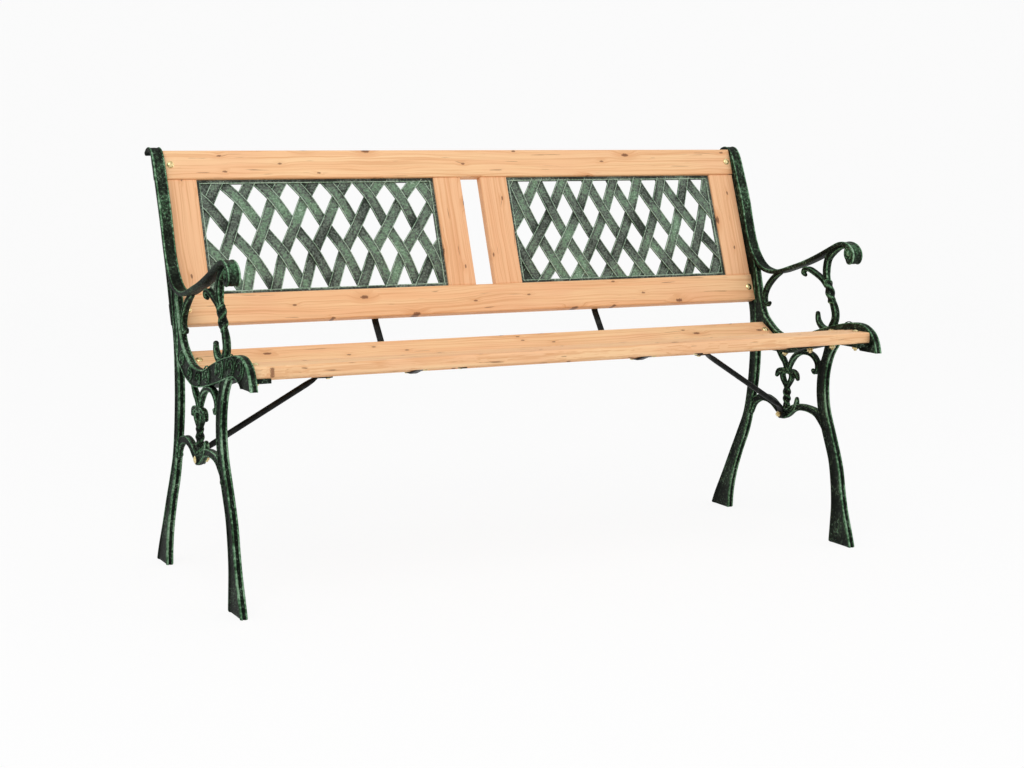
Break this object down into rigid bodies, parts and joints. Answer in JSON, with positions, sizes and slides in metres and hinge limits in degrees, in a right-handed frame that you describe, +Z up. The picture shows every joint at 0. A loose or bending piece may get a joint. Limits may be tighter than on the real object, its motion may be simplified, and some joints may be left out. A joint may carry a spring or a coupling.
{
  "type": "garden bench",
  "caption": "Slatted garden bench with scrolled cast end frames, a framed back with cast lattice panels, brace rods and centre straps.",
  "frame": {"origin": "on the ground, at the middle of the bench's footprint", "axes": "+X along the bench to the right end seen from the front, +Y towards the back, +Z up"},
  "size_m": [1.22, 0.538, 0.741],
  "materials": {
    "casting": "dark green-black paint with brushed light green patina on its ridges",
    "lattice": "dark green-black paint brushed with light green on its raised lines",
    "timber": "satin oiled softwood, orange-tan, with fine lengthwise grain and small knots",
    "black_steel": "black satin paint",
    "plated_steel": "yellow zinc plate"
  },
  "bodies": {
    "root": {"end_frame_left": "casting", "end_frame_right": "casting", "seat_slat_1": "timber", "seat_slat_2": "timber", "seat_slat_3": "timber", "seat_slat_4": "timber", "seat_slat_5": "timber", "back_top_rail": "timber", "back_bottom_rail": "timber", "back_stile_left_outer": "timber", "back_stile_left_inner": "timber", "back_stile_right_inner": "timber", "back_stile_right_outer": "timber", "lattice_panel_left": "lattice", "lattice_panel_right": "lattice", "brace_rod_left": "black_steel", "brace_rod_right": "black_steel", "centre_strap_left": "black_steel", "centre_strap_right": "black_steel", "seat_bolts_left": "plated_steel", "seat_bolts_right": "plated_steel", "seat_washers_left": "plated_steel", "seat_washers_right": "plated_steel", "seat_nuts_left": "plated_steel", "seat_nuts_right": "plated_steel", "back_bolts_left": "plated_steel", "back_bolts_right": "plated_steel", "back_washers_left": "plated_steel", "back_washers_right": "plated_steel", "back_nuts_left": "plated_steel", "back_nuts_right": "plated_steel", "brace_bolt_left": "plated_steel", "brace_bolt_right": "plated_steel", "brace_nut_left": "plated_steel", "brace_nut_right": "plated_steel", "brace_screw_left": "plated_steel", "brace_screw_right": "plated_steel", "strap_screws_left": "plated_steel", "strap_screws_right": "plated_steel"}
  },
  "joints": []
}
